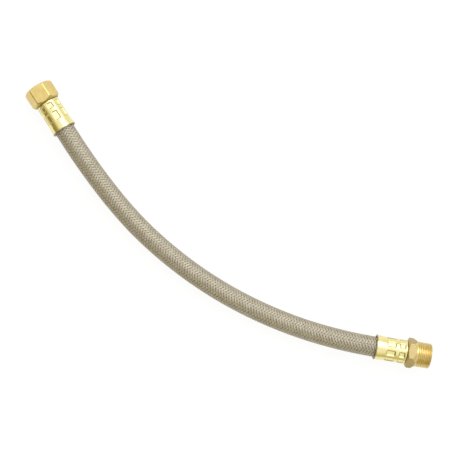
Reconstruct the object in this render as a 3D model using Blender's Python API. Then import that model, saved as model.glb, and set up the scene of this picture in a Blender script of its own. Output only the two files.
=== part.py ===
# Flexible water connector: a rubber tube in a woven steel jacket, crimped at one end to a
# swivel nut and at the other to a tapered pipe thread. Lengths are in metres and +Z is up.
# It lies on a flat surface as it comes to rest: on a flat of the nut, on the middle of the
# hose and on a corner of the threaded end.

from math import cos, pi, radians, sin

import bpy
from mathutils import Matrix, Vector

# Clearances
seat_gap = 0.0003  # between pieces that bear on each other
swivel_gap = 0.0004  # round the tailpiece, where the nut turns on it
open_line = 0.0006  # behind the nut, so that it clears the ferrule

# Hose
jacket_diameter = 0.0208
jacket_wall = 0.0007
tube_wall = 0.0028
hose_sides = 12
rings_per_span = 2  # rings of the hose's solid for each step of the route

# The hose's centreline between the two ferrules, chosen by eye along the bend: the ends are
# held up by the nut and the threaded end, and the middle lies on the surface
hose_route = [
    (-0.1668, 0.0964, 0.0135),
    (-0.1543, 0.0770, 0.0131),
    (-0.1401, 0.0564, 0.0122),
    (-0.1252, 0.0363, 0.0112),
    (-0.1095, 0.0170, 0.0106),
    (-0.0927, -0.0015, 0.0105),
    (-0.0746, -0.0188, 0.0105),
    (-0.0556, -0.0349, 0.0105),
    (-0.0356, -0.0500, 0.0105),
    (-0.0148, -0.0638, 0.0105),
    (0.0068, -0.0764, 0.0105),
    (0.0291, -0.0877, 0.0105),
    (0.0521, -0.0977, 0.0105),
    (0.0756, -0.1064, 0.0113),
    (0.0995, -0.1136, 0.0127),
    (0.1238, -0.1196, 0.0140),
    (0.1488, -0.1244, 0.01495),
]
nut_end_heading = radians(123.0)  # from +X, the way the nut points
thread_end_heading = radians(-9.9)  # the way the threaded end points

# Ferrules: a loose collar, then two rows of pressed panels, then a rim at the closed end
ferrule_wall = 0.0013
ferrule_end_wall = 0.0012
collar_length = 0.0060
collar_step = 0.00045  # how far the collar stands above the crimped stretch
collar_wall = 0.0012
collar_blend = 0.0042  # cone between the collar and the crimped stretch
lip_length = 0.0012
lip_height = 0.00025
lip_round = 0.0003
rim_length = 0.0012  # plain rim at the closed end
rim_step = 0.0002  # how far the rim stands above the crimped stretch
rim_round = 0.0004
panel_columns = 8
panel_width = 0.0067
panel_depth = 0.0008
panel_slope = 0.00045
long_panel = 0.0100
short_panel = 0.0068
panel_spacing = 0.0029
panel_margin = 0.0004  # plain wall before the first row and after the second
nut_ferrule_turn = radians(11)
thread_ferrule_turn = radians(13.6)

# Barbed shank, the same on both inserts
shank_wall = 0.0009  # under the barbs
shank_length = 0.026
shank_plain_run = 0.0036  # between the last barb and the neck
neck_diameter = 0.0150
barb_count = 4
barb_height = 0.0006
tip_chamfer = 0.0008

# Hexagons. At each face a cone takes the corners off: its length is how far it runs down the
# corners, and its inset how far inside the flats it meets the face
across_flats = 0.027
nut_length = 0.0190
nut_mouth_cone = 0.0020
nut_mouth_inset = 0.0006
nut_back_cone = 0.0034
nut_back_inset = 0.0010
hex_length = 0.0092
hex_thread_cone = 0.0034
hex_thread_inset = 0.0001
hex_ferrule_cone = 0.0010
hex_ferrule_inset = 0.0001
thread_hex_turn = radians(-13.5)

# Inside the nut
nut_bore = 0.0192  # over the crests of the inside thread
nut_countersink = 0.0015  # how far the mouth's countersink widens the bore all round
nut_lip = 0.0030
flange_thickness = 0.0020
flange_diameter = 0.0206
cavity_gap = 0.00045  # round the flange, inside the nut
washer_thickness = 0.0025
washer_gap = 0.00055  # round the washer, inside the nut
washer_hole = 0.0120

# Threaded end
thread_length = 0.0154
thread_diameter = 0.0266  # over the crests, next to the hexagon
thread_taper = 1 / 16
thread_chamfer = 0.0009
mouth_bore = 0.0150
mouth_bore_depth = 0.018
bore_step = 0.0020
bore_chamfer = 0.0006

round_sides = 48
inner_sides = 36

# Worked out from the sizes above
jacket_radius = jacket_diameter / 2
tube_radius = jacket_radius - jacket_wall - seat_gap
tube_bore_radius = tube_radius - tube_wall
crimp_bore_radius = jacket_radius + seat_gap
crimp_radius = crimp_bore_radius + ferrule_wall
collar_radius = crimp_radius + collar_step
rim_radius = crimp_radius + rim_step
barb_radius = tube_bore_radius - seat_gap
barb_root_radius = barb_radius - barb_height
barb_pitch = (shank_length - tip_chamfer - shank_plain_run) / barb_count
shank_bore_radius = barb_root_radius - shank_wall
neck_radius = neck_diameter / 2
flat_radius = across_flats / 2
corner_radius = flat_radius / cos(pi / 6)
flange_radius = flange_diameter / 2
cavity_radius = flange_radius + cavity_gap
washer_radius = cavity_radius - washer_gap
nut_bore_radius = nut_bore / 2
mouth_bore_radius = mouth_bore / 2

# Stations along each end's own axis, counted outwards from the ferrule's open mouth
first_row = collar_length + collar_blend + panel_margin
second_row = first_row + long_panel + panel_spacing
ferrule_length = second_row + short_panel + panel_margin + rim_length
ferrule_floor = ferrule_length - ferrule_end_wall
hose_end = ferrule_floor - seat_gap
nut_back = ferrule_length + open_line
nut_mouth = nut_back + nut_length
flange_back = nut_back + nut_lip + seat_gap
flange_front = flange_back + flange_thickness
washer_back = flange_front + seat_gap
washer_front = washer_back + washer_thickness
thread_start = washer_front + seat_gap
hex_back = ferrule_length + seat_gap
hex_front = hex_back + hex_length
thread_end = hex_front + thread_length


def material(name, colour, roughness, metallic):
    made = bpy.data.materials.new(name)
    made.use_nodes = True
    shader = made.node_tree.nodes["Principled BSDF"]
    shader.inputs["Base Color"].default_value = (*colour, 1)
    shader.inputs["Roughness"].default_value = roughness
    shader.inputs["Metallic"].default_value = metallic
    return made


def mesh_object(name, points, faces, look, parent=None, turn=0.0):
    mesh = bpy.data.meshes.new(name)
    mesh.from_pydata(points, [], faces)
    mesh.materials.append(look)
    mesh.shade_smooth()
    mesh.set_sharp_from_angle(angle=radians(25))
    made = bpy.data.objects.new(name, mesh)
    made.parent = parent
    made.rotation_euler = (0, 0, turn)
    bpy.context.collection.objects.link(made)
    return made


# Joins rings of points, the last to the first as well, into one closed skin facing out
def closed_skin(rings):
    sides = len(rings[0])
    points = [point for ring in rings for point in ring]
    faces = []
    for i in range(len(rings)):
        after = (i + 1) % len(rings)
        for j in range(sides):
            k = (j + 1) % sides
            faces.append(
                (i * sides + j, i * sides + k, after * sides + k, after * sides + j)
            )
    return points, faces


# A turned piece. Its section is a closed outline of (radius, station), run up the outside and
# down the bore; an entry may be a function of the angle instead, as a hexagon's are
def turned(name, section, angles, look, parent, turn=0.0):
    rings = []
    for entry in section:
        ring = []
        for angle in angles:
            radius, station = entry(angle) if callable(entry) else entry
            ring.append((radius * cos(angle), radius * sin(angle), station))
        rings.append(ring)
    points, faces = closed_skin(rings)
    return mesh_object(name, points, faces, look, parent, turn)


def even_angles(sides):
    return [2 * pi * i / sides for i in range(sides)]


def hex_radius(angle):
    from_flat = (angle + pi / 6) % (pi / 3) - pi / 6
    return flat_radius / cos(from_flat)


# The corner cone of a hexagon's face: its circle on the face, and where it meets the flats, which
# is an arch on each flat. A cone towards lower stations has a negative length
def corner_cone(face_station, inset, cone_length):
    face_radius = flat_radius - inset

    def arches(angle):
        radius = hex_radius(angle)
        share = (radius - face_radius) / (corner_radius - face_radius)
        return radius, face_station + share * cone_length

    return [(face_radius, face_station), arches]


# The barbed shank's outline from its tip to its neck
def shank_outline():
    tip = ferrule_floor - shank_length
    outline = [(barb_root_radius - tip_chamfer / 2, tip)]
    for i in range(barb_count):
        start = tip + tip_chamfer + i * barb_pitch
        outline.append((barb_root_radius, start))
        outline.append((barb_radius, start + 0.7 * barb_pitch))
        outline.append((barb_radius, start + 0.8 * barb_pitch))
        outline.append((barb_root_radius, start + 0.8 * barb_pitch))
    outline.append((barb_root_radius, ferrule_floor))
    outline.append((neck_radius, ferrule_floor))
    return outline


def swivel_nut(look, parent):
    section = [
        *corner_cone(nut_back, nut_back_inset, nut_back_cone),
        *reversed(corner_cone(nut_mouth, nut_mouth_inset, -nut_mouth_cone)),
        (nut_bore_radius + nut_countersink, nut_mouth),
        (nut_bore_radius, nut_mouth - nut_countersink),
        (nut_bore_radius, thread_start),
        (cavity_radius, thread_start),
        (cavity_radius, nut_back + nut_lip),
        (neck_radius + swivel_gap, nut_back + nut_lip),
        (neck_radius + swivel_gap, nut_back),
    ]
    return turned("swivel_nut", section, even_angles(round_sides), look, parent)


def sealing_washer(look, parent):
    section = [
        (washer_radius, washer_back),
        (washer_radius, washer_front),
        (washer_hole / 2, washer_front),
        (washer_hole / 2, washer_back),
    ]
    return turned("sealing_washer", section, even_angles(inner_sides), look, parent)


def nut_tailpiece(look, parent):
    tip = ferrule_floor - shank_length
    section = shank_outline() + [
        (neck_radius, flange_back),
        (flange_radius, flange_back),
        (flange_radius, flange_front),
        (shank_bore_radius + bore_chamfer, flange_front),
        (shank_bore_radius, flange_front - bore_chamfer),
        (shank_bore_radius, tip),
    ]
    return turned("nut_tailpiece", section, even_angles(inner_sides), look, parent)


def male_fitting(look, parent):
    tip = ferrule_floor - shank_length
    thread_radius = thread_diameter / 2
    small_radius = thread_radius - thread_length * thread_taper / 2
    mouth_floor = thread_end - mouth_bore_depth
    section = shank_outline() + [
        (neck_radius, hex_back),
        *corner_cone(hex_back, hex_ferrule_inset, hex_ferrule_cone),
        *reversed(corner_cone(hex_front, hex_thread_inset, -hex_thread_cone)),
        (thread_radius, hex_front),
        (small_radius, thread_end - thread_chamfer),
        (small_radius - thread_chamfer, thread_end),
        (mouth_bore_radius + bore_chamfer, thread_end),
        (mouth_bore_radius, thread_end - bore_chamfer),
        (mouth_bore_radius, mouth_floor),
        (shank_bore_radius, mouth_floor - bore_step),
        (shank_bore_radius, tip),
    ]
    return turned(
        "male_fitting", section, even_angles(round_sides), look, parent, thread_hex_turn
    )


# A ferrule: a brass cup with a loose collar at its mouth and, beyond it, two rows of flat
# panels pressed into the wall, which hold the hose on its barbs
def ferrule(name, look, parent, turn):
    half_width = panel_width / 2 / crimp_radius
    half_floor = (panel_width / 2 - panel_slope) / crimp_radius
    halfway_down = (half_width + half_floor) / 2
    column = 2 * pi / panel_columns
    angles = [
        i * column + offset
        for i in range(panel_columns)
        for offset in (-half_width, -half_floor, 0, half_floor, half_width, column / 2)
    ]

    def pressed(station):
        def point(angle):
            from_column = (angle + column / 2) % column - column / 2
            if abs(from_column) > halfway_down:
                return crimp_radius, station
            return (crimp_radius - panel_depth) / cos(from_column), station

        return point

    def panel(start, length):
        return [
            (crimp_radius, start),
            pressed(start + panel_slope),
            pressed(start + length - panel_slope),
            (crimp_radius, start + length),
        ]

    lip_radius = collar_radius + lip_height
    collar_bore_radius = collar_radius - collar_wall
    section = [
        (lip_radius - lip_round, 0),
        (lip_radius, lip_round),
        (lip_radius, lip_length - lip_round),
        (collar_radius, lip_length),
        (collar_radius, collar_length),
        (crimp_radius, collar_length + collar_blend),
        *panel(first_row, long_panel),
        *panel(second_row, short_panel),
        (rim_radius, ferrule_length - rim_length),
        (rim_radius, ferrule_length - rim_round),
        (rim_radius - rim_round, ferrule_length),
        (neck_radius + seat_gap, ferrule_length),
        (neck_radius + seat_gap, ferrule_floor),
        (crimp_bore_radius, ferrule_floor),
        (crimp_bore_radius, collar_length + collar_blend),
        (collar_bore_radius, collar_length),
        (collar_bore_radius, 0),
    ]
    return turned(name, section, angles, look, parent, turn)


# The empty at a ferrule's mouth that carries that end's pieces: its Z points outwards along
# the end's axis and its X points up
def end_carrier(name, mouth, heading):
    outward = Vector((cos(heading), sin(heading), 0))
    up = Vector((0, 0, 1))
    axes = Matrix((up, outward.cross(up), outward)).transposed().to_4x4()
    made = bpy.data.objects.new(name, None)
    made.matrix_world = Matrix.Translation(mouth) @ axes
    bpy.context.collection.objects.link(made)
    return made, outward


# The smooth curve through the route's points, leaving each ferrule along its axis
def smooth_route(points, start_way, end_way):
    ways = [start_way * (points[1] - points[0]).length]
    ways += [(after - before) / 2 for before, after in zip(points, points[2:])]
    ways += [end_way * (points[-1] - points[-2]).length]
    line = []
    for i in range(len(points) - 1):
        for j in range(rings_per_span):
            t = j / rings_per_span
            line.append(
                (1 + 2 * t) * (1 - t) ** 2 * points[i]
                + t * (1 - t) ** 2 * ways[i]
                + t * t * (3 - 2 * t) * points[i + 1]
                + t * t * (t - 1) * ways[i + 1]
            )
    return line + [points[-1]]


# The hose's centreline with the straight stretches that the ferrules hold
def hose_centreline(nut_way, thread_way):
    points = [Vector(point) for point in hose_route]
    start = points[0] + nut_way * hose_end
    end = points[-1] + thread_way * hose_end
    return [start, *smooth_route(points, -nut_way, thread_way), end]


# A hollow tube along a centreline, open at both ends
def hollow_tube(name, line, outer_radius, bore_radius, look):
    def ring(i, radius):
        before = line[max(i - 1, 0)]
        after = line[min(i + 1, len(line) - 1)]
        along = (after - before).normalized()
        side = along.cross(Vector((0, 0, 1))).normalized()
        up = side.cross(along)
        angles = even_angles(hose_sides)
        return [line[i] + radius * (cos(a) * side + sin(a) * up) for a in angles]

    last = len(line) - 1
    rings = [ring(last - i, outer_radius) for i in range(last + 1)]
    rings += [ring(i, bore_radius) for i in range(last + 1)]
    points, faces = closed_skin(rings)
    return mesh_object(name, points, faces, look)


for old in list(bpy.data.objects):
    bpy.data.objects.remove(old)

satin_brass = material("satin_brass", (0.72, 0.53, 0.22), 0.38, 1.0)
bright_brass = material("bright_brass", (0.86, 0.76, 0.34), 0.22, 1.0)
black_rubber = material("black_rubber", (0.02, 0.02, 0.02), 0.8, 0.0)
woven_steel = material("woven_steel", (0.56, 0.53, 0.47), 0.42, 1.0)

nut_end, nut_way = end_carrier("nut_end", hose_route[0], nut_end_heading)
thread_end_carrier, thread_way = end_carrier(
    "thread_end", hose_route[-1], thread_end_heading
)

swivel_nut(satin_brass, nut_end)
sealing_washer(black_rubber, nut_end)
nut_tailpiece(satin_brass, nut_end)
ferrule("nut_side_ferrule", bright_brass, nut_end, nut_ferrule_turn)
ferrule("thread_side_ferrule", bright_brass, thread_end_carrier, thread_ferrule_turn)
male_fitting(satin_brass, thread_end_carrier)

centreline = hose_centreline(nut_way, thread_way)
hollow_tube("steel_braid", centreline, jacket_radius, jacket_radius - jacket_wall, woven_steel)
hollow_tube("inner_tube", centreline, tube_radius, tube_bore_radius, black_rubber)
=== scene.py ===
# Flexible water connector: a woven steel hose between a brass swivel nut and a tapered brass
# pipe thread, lying on a white table. Lengths are in metres

from math import atan, cos, floor, pi, radians, sin, sqrt, tan

import bpy
import numpy as np
from mathutils import Matrix, Vector


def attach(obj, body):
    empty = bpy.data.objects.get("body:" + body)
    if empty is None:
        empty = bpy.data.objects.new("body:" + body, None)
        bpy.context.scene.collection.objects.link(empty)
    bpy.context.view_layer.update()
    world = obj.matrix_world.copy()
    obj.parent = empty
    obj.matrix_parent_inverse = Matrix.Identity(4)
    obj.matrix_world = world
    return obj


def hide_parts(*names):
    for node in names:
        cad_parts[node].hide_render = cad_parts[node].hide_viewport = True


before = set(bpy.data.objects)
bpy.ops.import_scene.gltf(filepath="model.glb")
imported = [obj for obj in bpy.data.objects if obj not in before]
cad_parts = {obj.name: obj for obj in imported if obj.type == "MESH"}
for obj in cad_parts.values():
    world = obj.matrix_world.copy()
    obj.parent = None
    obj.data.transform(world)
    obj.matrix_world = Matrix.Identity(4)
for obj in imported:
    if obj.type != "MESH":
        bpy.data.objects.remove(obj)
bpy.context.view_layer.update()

scene = bpy.context.scene


# camera, straight above the middle of the bend

view = {
    "place": (0.0006, -0.0046, 1.10),
    "lens": 83.8,  # on a 36 mm sensor
}

lens = bpy.data.cameras.new("overhead camera")
lens.lens = view["lens"]
lens.clip_start = 0.05
lens.clip_end = 20
camera = bpy.data.objects.new("overhead camera", lens)
camera.location = view["place"]
scene.collection.objects.link(camera)
scene.camera = camera
print("camera set")


# the two ends, and what every turned piece shares

hoseRoute = [  # mouth of the nut's ferrule to mouth of the threaded end's
    (-0.1668, 0.0964, 0.0135),
    (-0.1543, 0.0770, 0.0131),
    (-0.1401, 0.0564, 0.0122),
    (-0.1252, 0.0363, 0.0112),
    (-0.1095, 0.0170, 0.0106),
    (-0.0927, -0.0015, 0.0105),
    (-0.0746, -0.0188, 0.0105),
    (-0.0556, -0.0349, 0.0105),
    (-0.0356, -0.0500, 0.0105),
    (-0.0148, -0.0638, 0.0105),
    (0.0068, -0.0764, 0.0105),
    (0.0291, -0.0877, 0.0105),
    (0.0521, -0.0977, 0.0105),
    (0.0756, -0.1064, 0.0113),
    (0.0995, -0.1136, 0.0127),
    (0.1238, -0.1196, 0.0140),
    (0.1488, -0.1244, 0.01495),
]
headings = {"nut": 123.0, "thread": -9.9}  # degrees from +X, the way each end points
up = Vector((0, 0, 1))


def outwardOf(heading):
    return Vector((cos(radians(heading)), sin(radians(heading)), 0))


def endFrame(mouth, heading):  # Z outwards from the ferrule's mouth, X up
    outward = outwardOf(heading)
    axes = Matrix((up, outward.cross(up), outward)).transposed().to_4x4()
    return Matrix.Translation(mouth) @ axes


nutEnd = endFrame(hoseRoute[0], headings["nut"])
threadEnd = endFrame(hoseRoute[-1], headings["thread"])


def reach(end, node):  # how far a solid runs along an end's axis, and its largest radius
    inverse = end.inverted()
    points = [inverse @ v.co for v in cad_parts[node].data.vertices]
    stations = [p.z for p in points]
    return min(stations), max(stations), max(sqrt(p.x ** 2 + p.y ** 2) for p in points)


def smoothstep(low, high, x):
    t = min(max((x - low) / (high - low), 0), 1)
    return t * t * (3 - 2 * t)


# a closed outline of (radius, station, rounding): each rounded corner becomes a short curve
def rounded(corners, steps=3):
    outline = []
    for k, (radius, station, rounding) in enumerate(corners):
        corner = Vector((radius, station))
        if not rounding:
            outline.append(corner)
            continue
        before = Vector(corners[k - 1][:2]) - corner
        after = Vector(corners[(k + 1) % len(corners)][:2]) - corner
        start = corner + before.normalized() * min(rounding, 0.45 * before.length)
        end = corner + after.normalized() * min(rounding, 0.45 * after.length)
        for s in range(steps + 1):
            t = s / steps
            outline.append((1 - t) ** 2 * start + 2 * t * (1 - t) * corner + t * t * end)
    return outline


# skins an outline that may change with the angle; it runs up the outside and down the bore. The
# piece keeps its own coordinates, Z along its axis, for its material
def turnedPiece(name, outlineAt, angles, end, looks, lookOf=None):
    columns = [outlineAt(angle) for angle in angles]
    count = len(columns[0])
    points = [
        (p[0] * cos(angle), p[0] * sin(angle), p[1])
        for angle, column in zip(angles, columns)
        for p in column
    ]
    faces = []
    marks = []
    for j in range(len(angles)):
        k = (j + 1) % len(angles)
        for i in range(count):
            n = (i + 1) % count
            faces.append((j * count + i, k * count + i, k * count + n, j * count + n))
            middle = (Vector(columns[j][i][:2]) + Vector(columns[j][n][:2])) / 2
            marks.append(lookOf(middle, i) if lookOf else 0)
    mesh = bpy.data.meshes.new(name)
    mesh.from_pydata([end @ Vector(p) for p in points], [], faces)
    own = mesh.attributes.new("own place", "FLOAT_VECTOR", "POINT")
    own.data.foreach_set("vector", [value for p in points for value in p])
    for look in looks:
        mesh.materials.append(look)
    mesh.polygons.foreach_set("material_index", marks)
    mesh.shade_smooth()
    mesh.set_sharp_from_angle(angle=radians(50))
    made = bpy.data.objects.new(name, mesh)
    scene.collection.objects.link(made)
    even = made.modifiers.new("even shading", "WEIGHTED_NORMAL")
    even.keep_sharp = True
    return made


def place(piece, body, node):
    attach(piece, body)
    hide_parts(node)


# materials

class Nodes:  # a short way to build the nodes of a material or a world
    def __init__(self, owner):
        owner.use_nodes = True
        self.owner = owner
        self.tree = owner.node_tree

    def add(self, kind, inputs=None, **settings):
        made = self.tree.nodes.new("ShaderNode" + kind)
        for key, value in settings.items():
            setattr(made, key, value)
        for key, value in (inputs or {}).items():
            self.feed(value, made.inputs[key])
        return made

    def feed(self, value, socket):
        if isinstance(value, bpy.types.NodeSocket):
            self.tree.links.new(value, socket)
        else:
            socket.default_value = value

    def calculate(self, operation, *values):
        return self.add("Math", dict(enumerate(values)), operation=operation).outputs[0]

    def noise(self, scale, detail, vector):
        made = self.add("TexNoise", {"Scale": scale, "Detail": detail, "Vector": vector})
        return made.outputs["Fac"]

    def ramp(self, fac, stops):
        made = self.add("ValToRGB", {"Fac": fac})
        elements = made.color_ramp.elements
        elements[0].position, elements[0].color = stops[0][0], (*stops[0][1], 1)
        elements[1].position, elements[1].color = stops[-1][0], (*stops[-1][1], 1)
        for position, colour in stops[1:-1]:
            elements.new(position).color = (*colour, 1)
        return made.outputs["Color"]

    def mottle(self, noise, dark, light):
        return self.ramp(noise, [(0.3, dark), (0.7, light)])

    def share(self, value, low, high, first=0, last=1):  # low to high becomes first to last
        ends = {"From Min": low, "From Max": high, "To Min": first, "To Max": last}
        return self.add("MapRange", {"Value": value, **ends}).outputs["Result"]

    def spread(self, noise, first, last):  # the same for most of a noise's swing
        return self.share(noise, 0.25, 0.75, first, last)

    def bump(self, height, strength, distance, normal=None):
        made = self.add("Bump", {"Height": height, "Strength": strength, "Distance": distance})
        if normal is not None:
            self.feed(normal, made.inputs["Normal"])
        return made.outputs["Normal"]

    def surface(self, **inputs):
        shader = self.tree.nodes["Principled BSDF"]
        for key, value in inputs.items():
            self.feed(value, shader.inputs[key.replace("_", " ")])
        return self.owner


# brass: mottled tone, uneven gloss, and fine lines on top. The lines are lathe rings, the long
# marks of drawn bar or neither

brass = {
    "blotches": (170, 4),  # scale and detail of each noise
    "grain": (2600, 2),
    "lines": {"plain": (3000, 2), "rings": (3800, 2), "bar": (2600, 3)},
    "barStretch": 0.04,  # how slowly the bar's marks change along it
    "grainStrength": 0.35,
    "grainDepth": 0.00003,
    "lineStrength": 0.6,
    "lineGloss": 0.03,
}

brassTones = {  # dark and light
    "gold": ((0.71, 0.54, 0.18), (0.81, 0.64, 0.26)),
    "dull": ((0.46, 0.36, 0.16), (0.56, 0.45, 0.22)),
    "thread": ((0.68, 0.53, 0.21), (0.78, 0.63, 0.29)),
    # the back cones beside the ferrules: darker brass as painted shade
    "cone": ((0.46, 0.34, 0.11), (0.58, 0.44, 0.16)),
    "pale": ((0.84, 0.74, 0.33), (0.93, 0.84, 0.43)),
    # the pressed panels' slopes: darker brass as painted shade
    "crease": ((0.50, 0.46, 0.22), (0.60, 0.55, 0.28)),
    # the ferrule's mouth lip: partly tarnish, partly painted shadow of the gap between collar and
    # hose
    "lip": ((0.26, 0.22, 0.14), (0.36, 0.31, 0.22)),
}


def lineVector(n, local, marks):  # where the fine lines are read
    if marks == "plain":
        return local
    x, y, z = n.add("SeparateXYZ", {"Vector": local}).outputs
    if marks == "rings":
        square = n.calculate("MULTIPLY", x, x)
        radius = n.calculate("SQRT", n.calculate("MULTIPLY_ADD", y, y, square))
        return n.add("CombineXYZ", {"X": radius, "Y": z}).outputs[0]
    slow = n.calculate("MULTIPLY", z, brass["barStretch"])
    return n.add("CombineXYZ", {"X": x, "Y": y, "Z": slow}).outputs[0]


def brassLook(name, tone, gloss, marks, markDepth):
    n = Nodes(bpy.data.materials.new(name))
    if marks == "plain":
        local = n.add("TexCoord").outputs["Object"]
    else:
        local = n.add("Attribute", attribute_name="own place").outputs["Vector"]
    lines = n.noise(*brass["lines"][marks], lineVector(n, local, marks))
    blotch = n.noise(*brass["blotches"], local)
    grain = n.noise(*brass["grain"], local)
    lineGloss = n.spread(lines, -brass["lineGloss"], brass["lineGloss"])
    grained = n.bump(grain, brass["grainStrength"], brass["grainDepth"])
    return n.surface(
        Base_Color=n.mottle(blotch, *brassTones[tone]),
        Metallic=1.0,
        Roughness=n.calculate("ADD", n.spread(blotch, *gloss), lineGloss),
        Normal=n.bump(lines, brass["lineStrength"], markDepth, grained),
    )


nutBar = brassLook("drawn brass, nut", "gold", (0.28, 0.40), "bar", 0.00002)
nutTurned = brassLook("turned brass, nut", "gold", (0.26, 0.36), "rings", 0.00003)
fittingBar = brassLook("drawn brass, fitting", "dull", (0.44, 0.56), "bar", 0.00002)
fittingTurned = brassLook("turned brass, fitting", "thread", (0.28, 0.38), "rings", 0.00003)
# painted shade for the back cones, which sit in the recess by the ferrule
coneShadeBrass = brassLook("turned brass, painted shade on back cones", "cone", (0.34, 0.44), "rings", 0.00003)
tailpieceBrass = brassLook("turned brass, tailpiece", "thread", (0.28, 0.40), "plain", 0.00002)
ferruleBrass = brassLook("pale pressed brass", "pale", (0.16, 0.26), "rings", 0.00001)
creaseShadeBrass = brassLook("pressed brass, painted shade on panel slopes", "crease", (0.26, 0.36), "rings", 0.00001)
lipTarnishAndShade = brassLook("rolled lip, tarnish and painted shadow", "lip", (0.25, 0.4), "rings", 0.00002)

rubber = {
    "blotches": (240, 3),
    "grain": (1500, 4),
    "darker": 0.6,  # its dark blotches over its own tone
    "glossSwing": 0.08,
    "grainDepth": 0.00005,
}


def rubberLook(name, tone, gloss):
    n = Nodes(bpy.data.materials.new(name))
    local = n.add("TexCoord").outputs["Object"]
    grain = n.noise(*rubber["grain"], local)
    dark = tuple(rubber["darker"] * c for c in tone)
    return n.surface(
        Base_Color=n.mottle(n.noise(*rubber["blotches"], local), dark, tone),
        Roughness=n.spread(grain, gloss - rubber["glossSwing"], gloss + rubber["glossSwing"]),
        Normal=n.bump(grain, 0.5, rubber["grainDepth"]),
        Specular_IOR_Level=0.4,
    )


washerRubber = rubberLook("black washer rubber", (0.022, 0.022, 0.022), 0.62)
tubeRubber = rubberLook("black tube rubber", (0.018, 0.017, 0.016), 0.6)
print("brass and rubber made")


# the hose: 24 flat strands of wire, half wound each way, each going over two and under two

jacket = {
    "diameter": 0.0208,
    "strandsEachWay": 12,
    "lead": 0.0376,  # how far a strand runs along the hose in one turn round it
    "cover": 0.86,  # a strand's width over the room that it has
    "thickness": 0.00030,
    "layerStep": 0.00034,  # between the strands above and the strands below at a crossing
    "flat": 0.36,  # how far each side of a crossing a strand stays level, in strand spacings
    "crown": 0.35,  # the share of a strand's width that is at its full thickness
    "shoulder": 0.94,  # and the share before its edges fall away
    "wires": 7,  # side by side in each strand
    "pathSteps": 10,  # for each step of the route
}


def smoothRoute(points, startWay, endWay, steps):
    ways = [startWay * (points[1] - points[0]).length]
    ways += [(after - before) / 2 for before, after in zip(points, points[2:])]
    ways += [endWay * (points[-1] - points[-2]).length]
    line = []
    for i in range(len(points) - 1):
        for j in range(steps):
            t = j / steps
            line.append(
                (1 + 2 * t) * (1 - t) ** 2 * points[i]
                + t * (1 - t) ** 2 * ways[i]
                + t * t * (3 - 2 * t) * points[i + 1]
                + t * t * (t - 1) * ways[i + 1]
            )
    return line + [points[-1]]


def hoseLine():
    nutWay = outwardOf(headings["nut"])
    threadWay = outwardOf(headings["thread"])
    line = smoothRoute([Vector(p) for p in hoseRoute], -nutWay, threadWay, jacket["pathSteps"])
    _, held, _ = reach(nutEnd, "steel_braid")  # how deep it sits in each ferrule
    return [line[0] + nutWay * held, *line, line[-1] + threadWay * held]


# the hose's surface: a place along it, an angle round it and a radius become a point
class HoseSkin:
    def __init__(self, line):
        points = np.array(line)
        steps = np.linalg.norm(np.diff(points, axis=0), axis=1)
        self.along = np.concatenate([[0], np.cumsum(steps)])
        self.length = self.along[-1]
        self.points = points
        ways = np.gradient(points, self.along, axis=0)
        ways /= np.linalg.norm(ways, axis=1)[:, None]
        self.side = np.cross(ways, (0, 0, 1))
        self.side /= np.linalg.norm(self.side, axis=1)[:, None]
        self.top = np.cross(self.side, ways)

    def at(self, along, angle, radius):
        def read(table):
            return np.stack([np.interp(along, self.along, table[:, c]) for c in range(3)], -1)

        upward = np.cos(angle)[..., None] * read(self.top)
        sideward = np.sin(angle)[..., None] * read(self.side)
        return read(self.points) + radius[..., None] * (upward + sideward)


# every strand of one hand crosses those of the other at whole numbers: a strand is at u = i, and
# crosses strand j of the other hand at v = j

def strandSection():  # its outline across, with the level of each corner above its middle
    half = jacket["cover"] / 2
    thick = jacket["thickness"] / 2
    return [
        (-half, -thick),
        (-jacket["shoulder"] * half, thick / 2),
        (-jacket["crown"] * half, thick),
        (jacket["crown"] * half, thick),
        (jacket["shoulder"] * half, thick / 2),
        (half, -thick),
    ]


def strandRows(i, hand, crossings):  # two sections to a crossing: how far on, and their radius
    middle = jacket["diameter"] / 2 - jacket["thickness"] / 2 - jacket["layerStep"] / 2
    rows = []
    for n in range(1, crossings):
        j = i + hand * n
        over = ((i + j) % 4 < 2) == (hand == 1)
        radius = middle + (0.5 if over else -0.5) * jacket["layerStep"]
        rows += [(n - jacket["flat"], radius), (n + jacket["flat"], radius)]
    return rows


def strandFaces(start, rows, section, hand):  # with each corner's place across and along
    count = len(section)
    faces = []
    marks = []
    for r in range(len(rows) - 1):
        here, after = rows[r][0], rows[r + 1][0]
        for s in range(count):
            t = (s + 1) % count
            a = start + r * count
            quad = [a + s, a + t, a + count + t, a + count + s]
            left, right = section[s][0], section[t][0]
            corners = [(left, here), (right, here), (right, after), (left, after)]
            faces.append(quad[::hand])
            marks += corners[::hand]
    first = [start + s for s in range(count)]
    last = [start + (len(rows) - 1) * count + s for s in range(count)]
    faces += [first[::-hand], last[::hand]]
    marks += [(0, 0)] * (2 * count)
    return faces, marks


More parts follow.
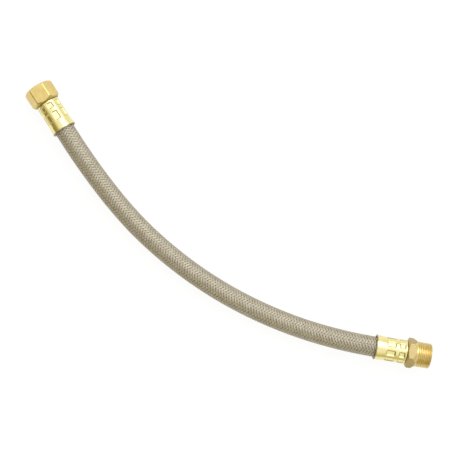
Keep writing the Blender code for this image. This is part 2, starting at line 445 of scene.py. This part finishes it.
def wovenJacket(skin, look):
    each = jacket["strandsEachWay"]
    perCrossing = jacket["lead"] / (2 * each)
    crossings = int(skin.length / perCrossing)
    section = strandSection()
    across, rise = np.array(section).T[:, None, :]
    points = []
    faces = []
    marks = []
    for hand in (1, -1):
        for i in range(each):
            rows = strandRows(i, hand, crossings)
            away, radius = np.array(rows).T[:, :, None]
            u = i + across + 0 * away
            v = i + hand * away + 0 * across
            placed = skin.at((v - u) * hand * perCrossing, (u + v) * pi / each, radius + rise)
            newFaces, newMarks = strandFaces(len(points), rows, section, hand)
            points.extend(map(tuple, placed.reshape(-1, 3)))
            faces += newFaces
            marks += newMarks
    mesh = bpy.data.meshes.new("woven_jacket")
    mesh.from_pydata(points, [], faces)
    strandMap = mesh.uv_layers.new(name="strand")
    strandMap.data.foreach_set("uv", [value for mark in marks for value in mark])
    mesh.materials.append(look)
    mesh.shade_smooth()
    mesh.set_sharp_from_angle(angle=radians(70))
    made = bpy.data.objects.new("woven_jacket", mesh)
    scene.collection.objects.link(made)
    return made


# satin wire: each strand shows its wires side by side with painted shade between them, and their
# tone wanders a little

wire = {
    "dark": (0.54, 0.49, 0.39),
    "light": (0.64, 0.59, 0.48),
    "blotches": (210, 3),
    "grooveShade": (0.55, 0.53, 0.5),  # painted shade between two wires, over the tone on them
    "gloss": (0.50, 0.62),
    "glossNoise": (900, 2),
    "depth": 0.00004,
}


def wireLook():
    n = Nodes(bpy.data.materials.new("woven steel wire"))
    marks = n.add("UVMap", uv_map="strand").outputs["UV"]
    across = n.add("SeparateXYZ", {"Vector": marks}).outputs["X"]
    turns = 2 * pi * jacket["wires"] / jacket["cover"]
    crest = n.share(n.calculate("COSINE", n.calculate("MULTIPLY", across, turns)), -1, 1)
    local = n.add("TexCoord").outputs["Object"]
    tone = n.mottle(n.noise(*wire["blotches"], local), wire["dark"], wire["light"])
    # painted shade in the grooves between the wires
    shade = n.ramp(crest, [(0.0, wire["grooveShade"]), (0.6, (1.0, 1.0, 1.0))])
    mixed = n.add("Mix", {0: 1.0, 6: tone, 7: shade}, data_type="RGBA", blend_type="MULTIPLY")
    return n.surface(
        Base_Color=mixed.outputs[2],
        Metallic=1.0,
        Roughness=n.spread(n.noise(*wire["glossNoise"], local), *wire["gloss"]),
        Normal=n.bump(crest, 0.5, wire["depth"]),
    )


line = hoseLine()
skin = HoseSkin(line)
wovenHose = wovenJacket(skin, wireLook())
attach(wovenHose, "hose_assembly")
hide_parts("steel_braid")
print("hose woven, %.0f mm long" % (1000 * skin.length))


# the ferrules: a flared collar with a dark lip, partly tarnish and partly painted shadow of the gap
# at the hose, then two rows of pressed panels

crimp = {
    "radius": 0.0120,
    "flare": 0.00045,  # how far the collar opens beyond the crimped stretch
    "flareStart": 0.0102,  # from the mouth, where it begins
    "flareEnd": 0.0040,
    "lipLength": 0.0012,
    "lipRise": 0.00025,
    "wall": 0.0012,
    "rimLength": 0.0012,
    "rimRise": 0.0002,
    "columns": 8,
    "panelWidth": 0.0067,
    "panelDepth": 0.00115,
    "panelSlope": 0.0014,
    "panelCorner": 0.0014,
    "eased": 0.25,  # how much of a slope's drop eases in and out; the rest goes straight
    "steepness": 1.3,  # of the straight part
    "late": 0.15,  # and how late it starts
    "slopeSteps": 5,
    "floorEdge": (1.25, 1.6),  # in slopes from a panel's edge, the last close steps
    "creaseFrom": 0.00012,  # how far down a panel's slope its painted shade begins and ends
    "creaseTo": 0.00060,
    "rows": ((0.0106, 0.0100), (0.0235, 0.0068)),  # where each row starts, and its length
    "bore": 0.0107,
    "closedBore": 0.0078,
    "endWall": 0.0012,
    "straightBore": 0.0060,  # how far the opened mouth's bore keeps its size
    "plainStations": (0.0016, 0.0030, 0.0045, 0.0060, 0.0075, 0.0090, 0.0102),
    "bevel": 0.0001,  # half the length of the lip's and the rim's steps
    "rounding": {"mouth": 0.0002, "lip": 0.00035, "lipBack": 0.0003, "rim": 0.0004},
    "turns": {"nut": 11, "thread": 13.6},  # degrees
}


# how deep the pressing is at a place: 1 on a panel's floor, 0 on the plain wall
def pressed(sideways, station):
    deepest = 0
    for start, length in crimp["rows"]:
        corner = crimp["panelCorner"]
        a = abs(sideways) - (crimp["panelWidth"] / 2 - corner)
        b = abs(station - start - length / 2) - (length / 2 - corner)
        outside = sqrt(max(a, 0) ** 2 + max(b, 0) ** 2) + min(max(a, b), 0) - corner
        down = -outside / crimp["panelSlope"]
        straight = min(max(crimp["steepness"] * down - crimp["late"], 0), 1)
        depth = crimp["eased"] * smoothstep(0, 1, down) + (1 - crimp["eased"]) * straight
        deepest = max(deepest, depth)
    return deepest


def ferruleStations(length):  # close together on the slopes
    slope = crimp["panelSlope"]
    steps = crimp["slopeSteps"]
    stations = list(crimp["plainStations"])
    for start, run in crimp["rows"]:
        edge = [slope * k / steps for k in range(-1, steps + 1)]
        edge += [slope * k for k in crimp["floorEdge"]]
        inner = [edge[-1] + (run - 2 * edge[-1]) * k / steps for k in range(1, steps)]
        stations += [start + d for d in edge + inner]
        stations += [start + run - d for d in reversed(edge)]
    return [s for s in stations if s < length - crimp["rimLength"]]


def ferruleAngles():  # the same, from the middle of a panel to the middle of a ridge
    half = crimp["panelWidth"] / 2 / crimp["radius"]
    slope = crimp["panelSlope"] / crimp["radius"]
    column = 2 * pi / crimp["columns"]
    steps = crimp["slopeSteps"]
    offsets = [0, 0.06] + [half - slope * k for k in reversed(crimp["floorEdge"])]
    offsets += [half - slope * k / steps for k in range(steps, -2, -1)]
    offsets += [(half + column / 2) / 2]
    around = [-a for a in reversed(offsets[1:])] + offsets + [column / 2]
    return [i * column + a for i in range(crimp["columns"]) for a in around]


def ferrule(name, end, key, length):
    column = 2 * pi / crimp["columns"]
    turn = radians(crimp["turns"][key])
    stations = ferruleStations(length)
    collar = crimp["radius"] + crimp["flare"]
    lip = collar + crimp["lipRise"]
    rim = crimp["radius"] + crimp["rimRise"]
    rimStart = length - crimp["rimLength"]
    endWall = length - crimp["endWall"]
    mouthBore = collar - crimp["wall"]
    bevel = crimp["bevel"]
    rounding = crimp["rounding"]

    def outer(angle, station):
        fromColumn = (angle + column / 2) % column - column / 2
        flare = 1 - smoothstep(crimp["flareEnd"], crimp["flareStart"], station)
        plain = crimp["radius"] + crimp["flare"] * flare
        floorRadius = (crimp["radius"] - crimp["panelDepth"]) / cos(fromColumn)
        share = pressed(fromColumn * crimp["radius"], station)
        return plain + share * (floorRadius - plain)

    def outline(angle):
        corners = [
            (mouthBore + rounding["mouth"], 0, rounding["mouth"]),
            (lip, 0, rounding["lip"]),
            (lip, crimp["lipLength"] - bevel, rounding["lipBack"]),
            (collar, crimp["lipLength"], bevel),
        ]
        corners += [(outer(angle, s), s, 0) for s in stations]
        corners += [
            (crimp["radius"], rimStart - bevel, 0),
            (rim, rimStart + bevel, 2 * bevel),
            (rim, length, rounding["rim"]),
            (crimp["closedBore"], length, rounding["mouth"]),
            (crimp["closedBore"], endWall, 0),
            (crimp["bore"], endWall, 0),
            (crimp["bore"], crimp["flareStart"], 0),
            (mouthBore, crimp["straightBore"], 0),
            (mouthBore, 3 * bevel, 0),
        ]
        return rounded(corners)

    def lookOf(middle, step):
        radius, station = middle
        # the lip: partly tarnish, partly painted shadow
        if station < crimp["lipLength"]:
            return 1 if radius > mouthBore + crimp["wall"] / 2 else 0
        down = crimp["radius"] - radius
        # part way down a panel's slope: painted shade
        return 2 if crimp["creaseFrom"] < down < crimp["creaseTo"] else 0

    turned = end @ Matrix.Rotation(turn, 4, "Z")
    looks = [ferruleBrass, lipTarnishAndShade, creaseShadeBrass]
    return turnedPiece(name, outline, ferruleAngles(), turned, looks, lookOf)


ferruleNodes = {"nut": "nut_side_ferrule", "thread": "thread_side_ferrule"}
for key, end in (("nut", nutEnd), ("thread", threadEnd)):
    _, length, _ = reach(end, ferruleNodes[key])
    made = ferrule(key + "_end_crimp", end, key, length)
    place(made, "hose_assembly", ferruleNodes[key])
print("ferrules pressed")


# hexagons

def roundedShare(flatRadius, edgeRound):  # the angle from a corner at which its rounding ends
    return pi / 6 - atan(tan(pi / 6) * (1 - edgeRound / flatRadius))


def hexAngles(flatRadius, edgeRound):  # from the middle of a flat, closer on the rounding
    edge = roundedShare(flatRadius, edgeRound)
    half = [radians(a) for a in (0, 6, 12, 18)]
    half += [pi / 6 - edge * k for k in (1.7, 1.0, 0.8, 0.6, 0.4, 0.2)]
    sector = [-a for a in reversed(half[1:])] + half + [pi / 6]
    return [k * pi / 3 + a for k in range(6) for a in sector]


def hexRadius(angle, flatRadius, edgeRound):  # with its six long edges rounded off
    fromFlat = (angle + pi / 6) % (pi / 3) - pi / 6
    fromCorner = pi / 6 - abs(fromFlat)
    if fromCorner >= roundedShare(flatRadius, edgeRound):
        return flatRadius / cos(fromFlat)
    centre = (flatRadius - edgeRound) / cos(pi / 6)
    return centre * cos(fromCorner) + sqrt(edgeRound ** 2 - (centre * sin(fromCorner)) ** 2)


coneSteps = 5  # the outline's steps along a hexagon's back cone, and after it along its flats
flatSteps = 5


def hexLook(step):  # counted from the hexagon's back face; the back cone takes the darker brass of painted shade
    if 0 <= step < coneSteps:
        return 2
    return 0 if coneSteps <= step < coneSteps + flatSteps else 1


# a thread: its depth at a place, following the helix, faded out at both ends
crestFlat = 0.12  # of half a pitch, and the root's flat is the same


def threadDepth(angle, station, thread, low, high):
    turnsAlong = station / thread["pitch"] - angle / (2 * pi)
    within = turnsAlong - floor(turnsAlong)
    wave = abs(2 * within - 1)  # 0 in the middle of a crest, 1 in the middle of a root
    flank = min(max((wave - crestFlat) / (1 - 2 * crestFlat), 0), 1)
    share = 0.5 * smoothstep(0, 1, flank) + 0.5 * flank
    fade = smoothstep(low, low + thread["runIn"], station)
    fade *= 1 - smoothstep(high - thread["runOut"], high, station)
    return thread["depth"] * share * fade


# the swivel nut

nut = {
    "flatRadius": 0.0135,
    "edgeRound": 0.0020,
    "mouthCone": 0.0020,
    "mouthInset": 0.0006,
    "backCone": 0.0034,
    "backInset": 0.0010,
    "bore": 0.0096,
    "countersink": 0.0015,
    "lip": 0.0030,  # wall behind the flange
    "cavityRadius": 0.01075,
    "neckBore": 0.0079,
    "thread": {"pitch": 0.001814, "depth": 0.00095, "runIn": 0.0008, "runOut": 0.0010},
    "threadSteps": 60,
    "washerGap": 0.0003,
    "rounding": {"back": 0.0004, "flat": 0.0005, "mouth": 0.0006, "bore": 0.0003, "neck": 0.0002},
}


def coneAt(radius, faceRadius, flatRadius, coneLength):
    cornerRadius = flatRadius / cos(pi / 6)
    return (radius - faceRadius) / (cornerRadius - faceRadius) * coneLength


def swivelNut(end, back, mouth, threadStart):
    flat = nut["flatRadius"]
    backFace = flat - nut["backInset"]
    mouthFace = flat - nut["mouthInset"]
    threadEndAt = mouth - nut["countersink"]
    rounding = nut["rounding"]

    def outline(angle):
        radius = hexRadius(angle, flat, nut["edgeRound"])
        backCone = coneAt(radius, backFace, flat, nut["backCone"])
        mouthCone = coneAt(radius, mouthFace, flat, nut["mouthCone"])
        corners = [
            (backFace, back, rounding["back"]),
            (radius, back + backCone, rounding["flat"]),
            (radius, mouth - mouthCone, rounding["flat"]),
            (mouthFace, mouth, rounding["mouth"]),
            (nut["bore"] + nut["countersink"], mouth, rounding["bore"]),
            (nut["bore"], threadEndAt, 0),
        ]
        for k in range(1, nut["threadSteps"]):
            station = threadEndAt + (threadStart - threadEndAt) * k / nut["threadSteps"]
            cut = threadDepth(angle, station, nut["thread"], threadStart, threadEndAt)
            corners.append((nut["bore"] + cut, station, 0))
        corners += [
            (nut["bore"], threadStart, 0),
            (nut["cavityRadius"], threadStart, 0),
            (nut["cavityRadius"], back + nut["lip"], 0),
            (nut["neckBore"], back + nut["lip"], 0),
            (nut["neckBore"], back, rounding["neck"]),
        ]
        return rounded(corners)

    looks = [nutBar, nutTurned, coneShadeBrass]
    angles = hexAngles(flat, nut["edgeRound"])
    return turnedPiece("hex_nut", outline, angles, end, looks, lambda middle, step: hexLook(step))


nutBack, nutMouth, _ = reach(nutEnd, "swivel_nut")
washerBack, washerFront, washerRadius = reach(nutEnd, "sealing_washer")
made = swivelNut(nutEnd, nutBack, nutMouth, washerFront + nut["washerGap"])
place(made, "nut", "swivel_nut")


# the washer inside it

washer = {"hole": 0.0060, "edge": 0.0004, "sides": 72}


def sealingWasher(end, back, front, radius):
    corners = [
        (radius, back, washer["edge"]),
        (radius, front, washer["edge"]),
        (washer["hole"], front, washer["edge"]),
        (washer["hole"], back, washer["edge"]),
    ]
    angles = [2 * pi * k / washer["sides"] for k in range(washer["sides"])]
    return turnedPiece("rubber_washer", lambda angle: rounded(corners), angles, end, [washerRubber])


made = sealingWasher(nutEnd, washerBack, washerFront, washerRadius)
place(made, "nut", "sealing_washer")
print("nut and washer turned")


# the threaded end: barbed shank, hexagon and tapered thread in one piece

fitting = {
    "flatRadius": 0.0135,
    "edgeRound": 0.0009,
    "hexGap": 0.0003,  # between the ferrule and the hexagon
    "hexLength": 0.0092,
    "hexTurn": -13.5,  # degrees
    "threadCone": 0.0034,
    "ferruleCone": 0.0017,
    "ferruleInset": 0.0014,
    "inset": 0.0001,
    "threadRadius": 0.0133,
    "taper": 1 / 16,
    "chamfer": 0.0009,
    "thread": {"pitch": 0.001814, "depth": 0.00105, "runIn": 0.0022, "runOut": 0.0010},
    "threadFrom": 0.0002,  # after the hexagon, where the cut begins to deepen
    "threadPast": 0.0004,  # beyond the end, where it would be all out
    "threadSteps": 108,
    "lastStep": 0.00012,
    "mouthBore": 0.0075,
    "mouthBreak": 0.0006,  # taken off the bore's edge
    "mouthDepth": 0.018,
    "boreStep": 0.002,
    "shankBore": 0.0048,
    "shankRoot": 0.0057,
    "barb": 0.0063,
    "barbs": 4,
    "barbPitch": 0.0054,
    "barbShape": (("shankRoot", 0), ("barb", 0.7), ("barb", 0.8), ("shankRoot", 0.8)),
    "neck": 0.0075,
    "ferruleEnd": 0.0012,  # the ferrule's end wall
    "tipChamfer": 0.0008,
    "rounding": {"hexBack": 0.0003, "hexFront": 0.0006, "face": 0.0001, "end": 0.0002},
}


def threadedFitting(end, tip, front, ferruleLength):
    flat = fitting["flatRadius"]
    face = flat - fitting["inset"]
    backFace = flat - fitting["ferruleInset"]
    ferruleFloor = ferruleLength - fitting["ferruleEnd"]
    hexStart = ferruleLength + fitting["hexGap"]
    hexEnd = hexStart + fitting["hexLength"]
    chamferStart = front - fitting["chamfer"]
    mouthFloor = front - fitting["mouthDepth"]
    cutStart = hexEnd + fitting["threadFrom"]
    cutEnd = front + fitting["threadPast"]
    threadStep = (front - hexEnd - fitting["lastStep"]) / fitting["threadSteps"]
    rounding = fitting["rounding"]

    def threadRadius(station):
        return fitting["threadRadius"] - (station - hexEnd) * fitting["taper"] / 2

    def outline(angle):
        corners = [(fitting["shankRoot"] - fitting["tipChamfer"] / 2, tip, 0)]
        for k in range(fitting["barbs"]):
            start = tip + fitting["tipChamfer"] + k * fitting["barbPitch"]
            for radius, share in fitting["barbShape"]:
                corners.append((fitting[radius], start + share * fitting["barbPitch"], 0))
        radius = hexRadius(angle, flat, fitting["edgeRound"])
        backCone = coneAt(radius, backFace, flat, fitting["ferruleCone"])
        frontCone = coneAt(radius, face, flat, fitting["threadCone"])
        corners += [
            (fitting["shankRoot"], ferruleFloor, 0),
            (fitting["neck"], ferruleFloor, 0),
            (fitting["neck"], hexStart, 0),
            (backFace, hexStart, rounding["hexBack"]),
            (radius, hexStart + backCone, rounding["hexBack"]),
            (radius, hexEnd - frontCone, rounding["hexFront"]),
            (face, hexEnd, rounding["face"]),
            (threadRadius(hexEnd), hexEnd, 0),
        ]
        for k in range(1, fitting["threadSteps"]):
            station = hexEnd + k * threadStep
            cut = threadDepth(angle, station, fitting["thread"], cutStart, cutEnd)
            chamfered = threadRadius(chamferStart) - max(station - chamferStart, 0)
            corners.append((min(threadRadius(station) - cut, chamfered), station, 0))
        corners += [
            (threadRadius(chamferStart) - fitting["chamfer"], front, rounding["end"]),
            (fitting["mouthBore"] + fitting["mouthBreak"], front, rounding["end"]),
            (fitting["mouthBore"], front - fitting["mouthBreak"], 0),
            (fitting["mouthBore"], mouthFloor, 0),
            (fitting["shankBore"], mouthFloor - fitting["boreStep"], 0),
            (fitting["shankBore"], tip, 0),
        ]
        return rounded(corners)

    shankSteps = 4 * fitting["barbs"] + 4  # the outline's steps before the hexagon's back
    return turnedPiece(
        "threaded_fitting",
        outline,
        hexAngles(flat, fitting["edgeRound"]),
        end @ Matrix.Rotation(radians(fitting["hexTurn"]), 4, "Z"),
        [fittingBar, fittingTurned, coneShadeBrass],
        lambda middle, step: hexLook(step - shankSteps),
    )


shankTip, fittingFront, _ = reach(threadEnd, "male_fitting")
_, ferruleLength, _ = reach(threadEnd, "thread_side_ferrule")
made = threadedFitting(threadEnd, shankTip, fittingFront, ferruleLength)
place(made, "hose_assembly", "male_fitting")
print("threaded end turned")


# the solids that stay as they are, with their finish

for node, look in (("nut_tailpiece", tailpieceBrass), ("inner_tube", tubeRubber)):
    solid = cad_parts[node]
    solid.data.materials.clear()
    solid.data.materials.append(look)


# the hose's route read out as points, and not kept

tuple(line[0])
[tuple(p) for p in line]


# table, daylight tent and lamp

studio = {
    "tableSize": 8.0,
    "tableDrop": 0.0002,  # under the part, so that the two don't share a plane
    "tableGlow": 0.90,  # what the camera and reflections see of the table without any lamp
    "tableShade": 0.12,  # and how much of the light and shadow on it they see
    "tableTone": 0.76,  # its colour for the light that it throws back on the part
    "keyPlace": (0.9, 1.3, 1.9),
    "keySize": 1.8,
    "keyPower": 19.0,
    "bright": (0.27, 0.32, 0.91),  # towards the middle of the tent's bright side
    "cloth": [  # the tent's tone, from the side away from there to that side
        (0.0, (0.40, 0.37, 0.18)),
        (0.33, (0.47, 0.44, 0.25)),
        (0.63, (0.75, 0.71, 0.50)),
        (0.71, (0.88, 0.87, 0.73)),
        (0.80, (1.00, 1.00, 0.97)),
        (1.0, (1.05, 1.05, 1.08)),
    ],
    "dark": (-0.89, -0.29, 0.34),  # towards the room beyond its open side
    "openFrom": 0.70,  # cosine of the angle from there at which the tent begins to end
    "openTo": 0.95,
    "openTone": (0.54, 0.44, 0.24),
}


def grey(value):
    return (value, value, value, 1)


def seenDirectly(n, rays):  # by the camera, or through glass
    return n.calculate("MAXIMUM", rays["Is Camera Ray"], rays["Is Transmission Ray"])


def table():
    half = studio["tableSize"] / 2
    corners = [(-half, -half, 0), (half, -half, 0), (half, half, 0), (-half, half, 0)]
    mesh = bpy.data.meshes.new("table")
    mesh.from_pydata(corners, [], [(0, 1, 2, 3)])
    made = bpy.data.objects.new("table", mesh)
    made.location.z = -studio["tableDrop"]
    scene.collection.objects.link(made)
    n = Nodes(bpy.data.materials.new("white table"))
    n.tree.nodes.remove(n.tree.nodes["Principled BSDF"])
    rays = n.add("LightPath").outputs
    seen = n.calculate("MAXIMUM", seenDirectly(n, rays), rays["Is Glossy Ray"])
    glow = n.add("Emission", {"Color": grey(1), "Strength": studio["tableGlow"]})
    shade = n.add("BsdfDiffuse", {"Color": grey(studio["tableShade"])})
    shown = n.add("AddShader", {0: glow.outputs[0], 1: shade.outputs[0]})
    plain = n.add("BsdfDiffuse", {"Color": grey(studio["tableTone"])})
    mixed = n.add("MixShader", {0: seen, 1: plain.outputs[0], 2: shown.outputs[0]})
    n.feed(mixed.outputs[0], n.tree.nodes["Material Output"].inputs["Surface"])
    mesh.materials.append(n.owner)


def tent():  # white to the camera; to the rest bright above, with one side open to a dark room
    scene.world = bpy.data.worlds.new("daylight tent")
    n = Nodes(scene.world)
    direction = n.add("TexCoord").outputs["Generated"]

    def towards(way):
        sides = {0: direction, 1: Vector(way).normalized()}
        return n.add("VectorMath", sides, operation="DOT_PRODUCT").outputs["Value"]

    cloth = n.ramp(n.share(towards(studio["bright"]), -1, 1), studio["cloth"])
    beyond = n.share(towards(studio["dark"]), studio["openFrom"], studio["openTo"])
    opening = n.ramp(beyond, [(0.0, (1.0, 1.0, 1.0)), (1.0, studio["openTone"])])
    lit = n.add("Mix", {0: 1.0, 6: cloth, 7: opening}, data_type="RGBA", blend_type="MULTIPLY")
    seen = seenDirectly(n, n.add("LightPath").outputs)
    shown = n.add("Mix", {0: seen, 6: lit.outputs[2], 7: grey(1)}, data_type="RGBA")
    n.feed(shown.outputs[2], n.tree.nodes["Background"].inputs["Color"])


def softLamp(name, location, size, power):
    lamp = bpy.data.lights.new(name, "AREA")
    lamp.size = size
    lamp.energy = power
    made = bpy.data.objects.new(name, lamp)
    made.location = location
    made.rotation_euler = (-Vector(location)).to_track_quat("-Z", "Y").to_euler()
    scene.collection.objects.link(made)


table()
tent()
softLamp("key", studio["keyPlace"], studio["keySize"], studio["keyPower"])
scene.view_settings.view_transform = "Standard"
print("studio lit")
